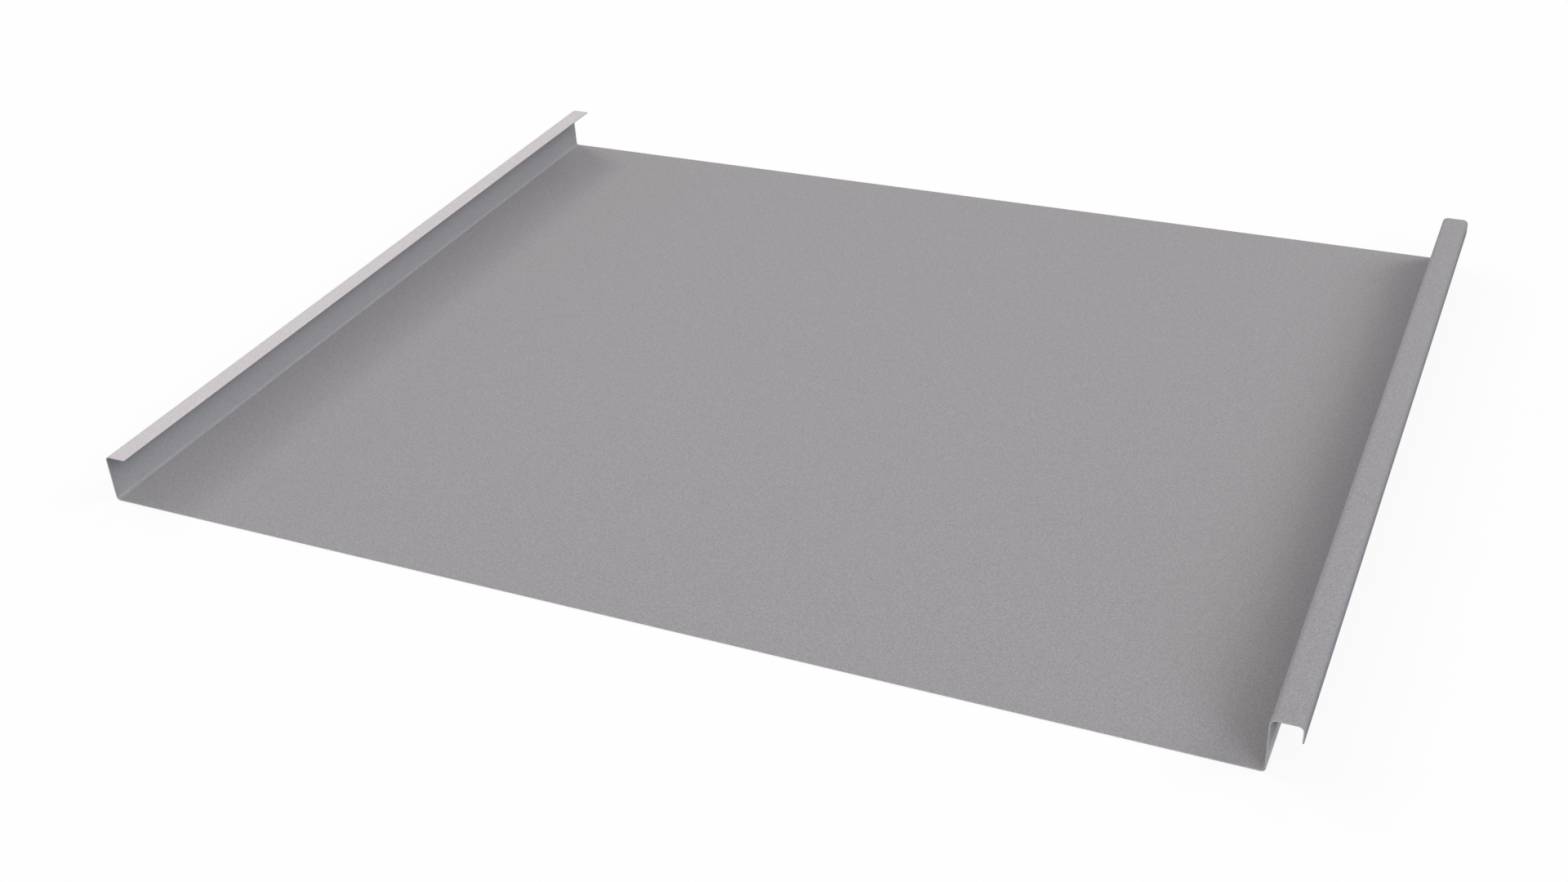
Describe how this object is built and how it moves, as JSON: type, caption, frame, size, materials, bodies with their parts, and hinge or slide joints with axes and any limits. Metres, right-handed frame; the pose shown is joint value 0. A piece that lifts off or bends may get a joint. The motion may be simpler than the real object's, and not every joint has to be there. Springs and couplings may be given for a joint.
{
  "type": "standing seam roof panel",
  "caption": "Flat sheet-metal roof pan with an inward-flanged upstand along its left edge and a taller upstand with a cover strip and turned-down lip along its right edge.",
  "frame": {"origin": "middle of the pan's underside: halfway between the back faces of the two upstands, and halfway along the length", "axes": "+X across the pan, from the flanged left upstand to the right upstand with the cover strip; +Y along the panel's length, up the roof; +Z out of the roof, from the pan towards the seam"},
  "size_m": [0.5498, 0.44, 0.025],
  "materials": {
    "painted_steel": "matte"
  },
  "bodies": {
    "root": {"roof_panel": "painted_steel"}
  },
  "joints": []
}
